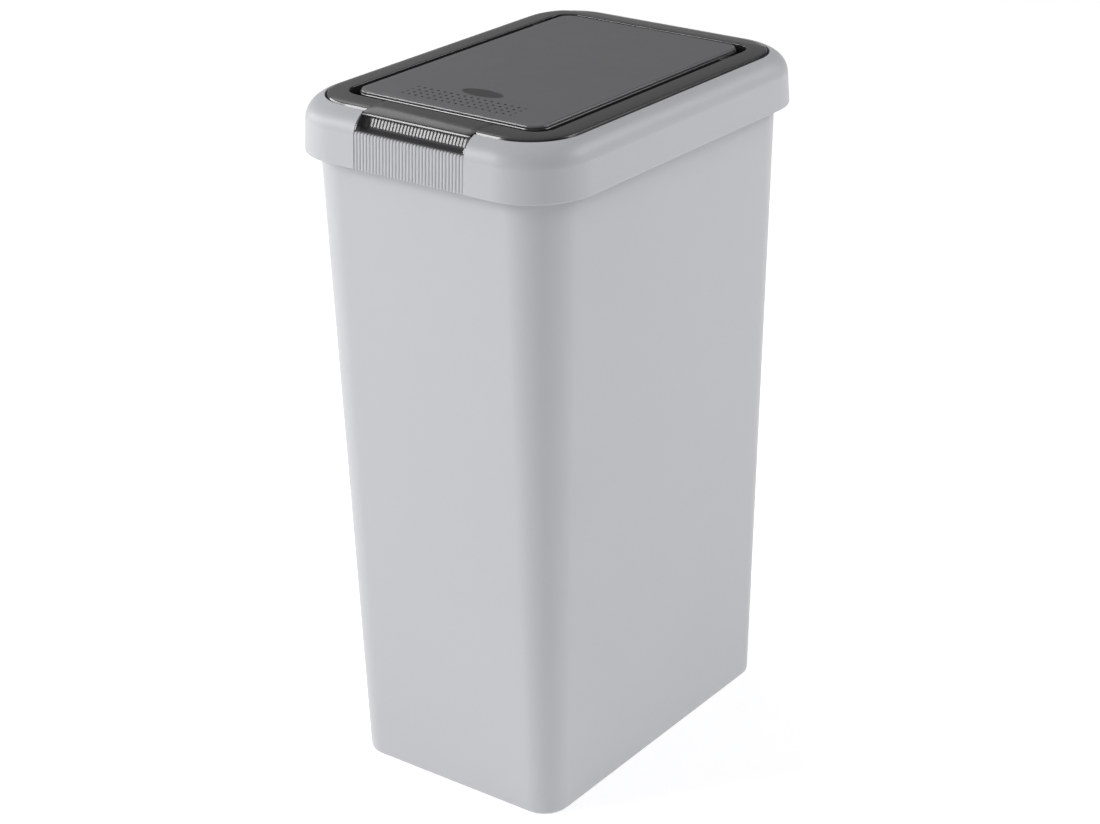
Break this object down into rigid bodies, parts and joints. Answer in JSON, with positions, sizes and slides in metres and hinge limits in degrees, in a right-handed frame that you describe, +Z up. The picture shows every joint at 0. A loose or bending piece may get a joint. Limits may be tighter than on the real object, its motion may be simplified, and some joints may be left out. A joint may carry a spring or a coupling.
{
  "type": "kitchen waste bin",
  "caption": "Tall tapered kitchen waste bin with a loose collar, a hinged dark lid frame lifted by a front tongue, and a sprung push-in flap with a dimpled press area.",
  "frame": {"origin": "on the floor, under the middle of the bin", "axes": "+X to the bin's right as seen from the front, -Y to the front with the grip, +Z up"},
  "size_m": [0.29, 0.401, 0.6412],
  "materials": {
    "light_plastic": "light cool grey moulded plastic, satin with a very fine grain",
    "dark_plastic": "anthracite moulded plastic, satin, glossier on the beads and ribs",
    "flap_plastic": "dark grey moulded plastic, fine matt grain",
    "steel": "plain bright steel rod and spring wire"
  },
  "bodies": {
    "base": {"bucket": "light_plastic"},
    "collar": {"collar": "light_plastic"},
    "lid": {"lid_frame": "dark_plastic", "grip_pocket": "dark_plastic", "lid_hinge_pin_left": "steel", "lid_hinge_pin_right": "steel", "flap_spring_left": "steel", "flap_spring_right": "steel"},
    "flap": {"flap_cover": "flap_plastic", "flap_tray": "dark_plastic", "flap_pin_left": "steel", "flap_pin_right": "steel"}
  },
  "joints": [
    {"name": "collar_lift", "type": "slide", "parent": "base", "child": "collar", "axis": [0, 0, 1], "range_m": [0, 0.06]},
    {"name": "lid_hinge", "type": "hinge", "parent": "collar", "child": "lid", "pos_m": [0, 0.1778, 0.634], "axis": [-1, 0, 0], "range_deg": [0, 85]},
    {"name": "flap_swing", "type": "hinge", "parent": "lid", "child": "flap", "pos_m": [0, 0.12625, 0.632], "axis": [1, 0, 0], "range_deg": [0, 70], "stiffness_Nm_per_rad": 0.27, "springref_deg": -131.78}
  ]
}
